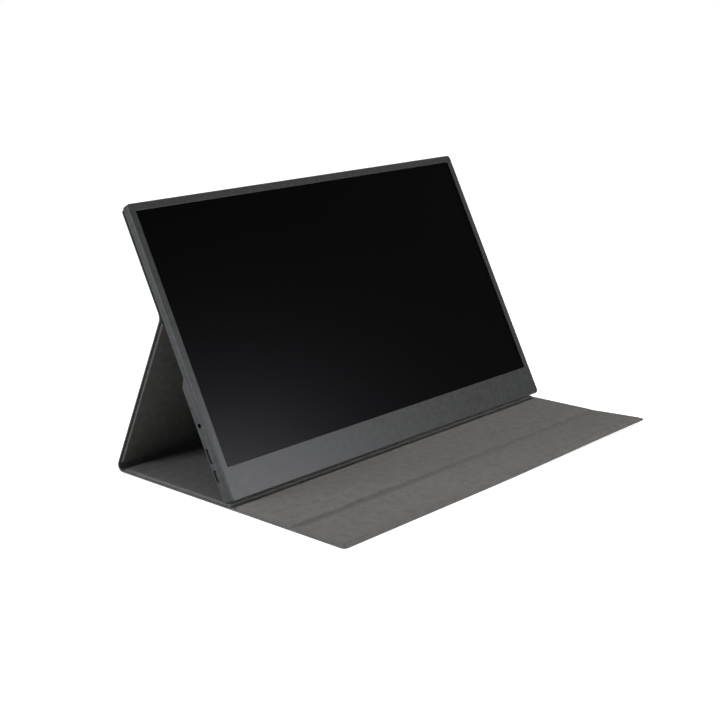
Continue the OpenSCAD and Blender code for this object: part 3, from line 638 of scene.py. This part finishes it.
# ---------------------------------------------------------------- floor, light and background
FLOOR_REACH, FLOOR_Z = 2, -0.0002       # metres: half of its side, and just under the cover
WORLD_FILL = 0.07                       # faint light from all round


def direct(tree):
    """A value that is 1 for what the camera sees itself or in a gloss, and the rays it comes from."""
    rays = add(tree, "LightPath")
    return rays, add(tree, "Math", {0: rays.outputs["Is Camera Ray"], 1: rays.outputs["Is Glossy Ray"]},
                     operation="MAXIMUM").outputs[0]


def make_floor():
    """A sheet of white paper, which takes a faint shadow and fades into the background."""
    far = FLOOR_REACH
    mesh = bpy.data.meshes.new("floor")
    mesh.from_pydata([(-far, -far, 0), (far, -far, 0), (far, far, 0), (-far, far, 0)], [], [(0, 1, 2, 3)])
    floor = bpy.data.objects.new("floor", mesh)
    floor.location.z = FLOOR_Z
    scene.collection.objects.link(floor)
    made, tree, shader, where = surface("pale_paper_floor", 0.9, Specular_IOR_Level=0.1)
    grain = add(tree, "TexNoise", {"Vector": where, "Scale": 60.0, "Detail": 3.0}).outputs["Fac"]
    finish_of(tree, shader, grain, "#d9d9d9", "#dedede")
    # seen directly the paper is white where light falls on it freely, and a little grey in the shadow;
    # away from the object, where less light falls, it glows more
    reach = add(tree, "VectorMath", {0: where}, operation="LENGTH").outputs["Value"]
    strength = add(tree, "MapRange", {"Value": reach, "From Min": 0.5, "From Max": 1.6,
                                      "To Min": 0.8, "To Max": 1.0})
    glow = add(tree, "Emission", {"Color": (1, 1, 1, 1), "Strength": strength.outputs["Result"]})
    seen = direct(tree)[1]
    dark = add(tree, "Emission", {"Strength": 0.0})
    shown = add(tree, "MixShader", {"Fac": seen, 1: dark.outputs[0], 2: glow.outputs[0]})
    both = add(tree, "AddShader", {0: shader.outputs[0], 1: shown.outputs[0]})
    tree.links.new(both.outputs[0], tree.nodes["Material Output"].inputs["Surface"])
    mesh.materials.append(made)


make_floor()


def make_light(name, place, target, width, height, power, colour=(1, 1, 1)):
    """A rectangular light at a place, turned towards a target; metres and watts."""
    lamp = bpy.data.lights.new(name, "AREA")
    lamp.color = colour
    lamp.shape, lamp.size, lamp.size_y, lamp.energy = "RECTANGLE", width, height, power
    holder = bpy.data.objects.new(name, lamp)
    holder.location = place
    holder.rotation_euler = (Vector(target) - Vector(place)).to_track_quat("-Z", "Y").to_euler()
    holder.visible_camera = False
    scene.collection.objects.link(holder)
    return holder


make_light("overhead_softbox", (0.05, 0.1, 1.6), (0, 0, 0), 1.6, 1.4, 15.2)
make_light("front_softbox", (0.4, -1.4, 0.42), (0, 0, 0.03), 0.9, 0.6, 11)
make_light("left_softbox", (-1.25, 0.42, 0.15), (-0.15, 0.05, 0.08), 0.5, 0.28, 17, (0.93, 0.97, 1.0))
# a card that shows only as a glow in the gloss of the screen and the frame, strongest past the screen's
# lower left corner
glow_at = in_monitor(-220, 0, -40)
glow_way = (glow_at - scene.camera.location).reflect(DEEPER).normalized()
card = make_light("gloss_card", glow_at + glow_way * 1.2, glow_at, 0.3, 0.3, 36, (0.95, 0.96, 1.0))
card.visible_diffuse = False


def make_world():
    """A white background, which lights the object only a little."""
    world = bpy.data.worlds.new("studio")
    scene.world = world
    world.use_nodes = True
    tree = world.node_tree
    tree.nodes.clear()
    rays, seen = direct(tree)
    clear = add(tree, "Math", {0: seen, 1: rays.outputs["Is Transmission Ray"]}, operation="MAXIMUM")
    fill = add(tree, "Background", {"Color": (1, 1, 1, 1), "Strength": WORLD_FILL})
    white = add(tree, "Background", {"Color": (1, 1, 1, 1), "Strength": 1.0})
    mix = add(tree, "MixShader", {"Fac": clear.outputs[0], 1: fill.outputs[0], 2: white.outputs[0]})
    add(tree, "OutputWorld", {"Surface": mix.outputs[0]})


make_world()
scene.view_settings.view_transform = "Standard"
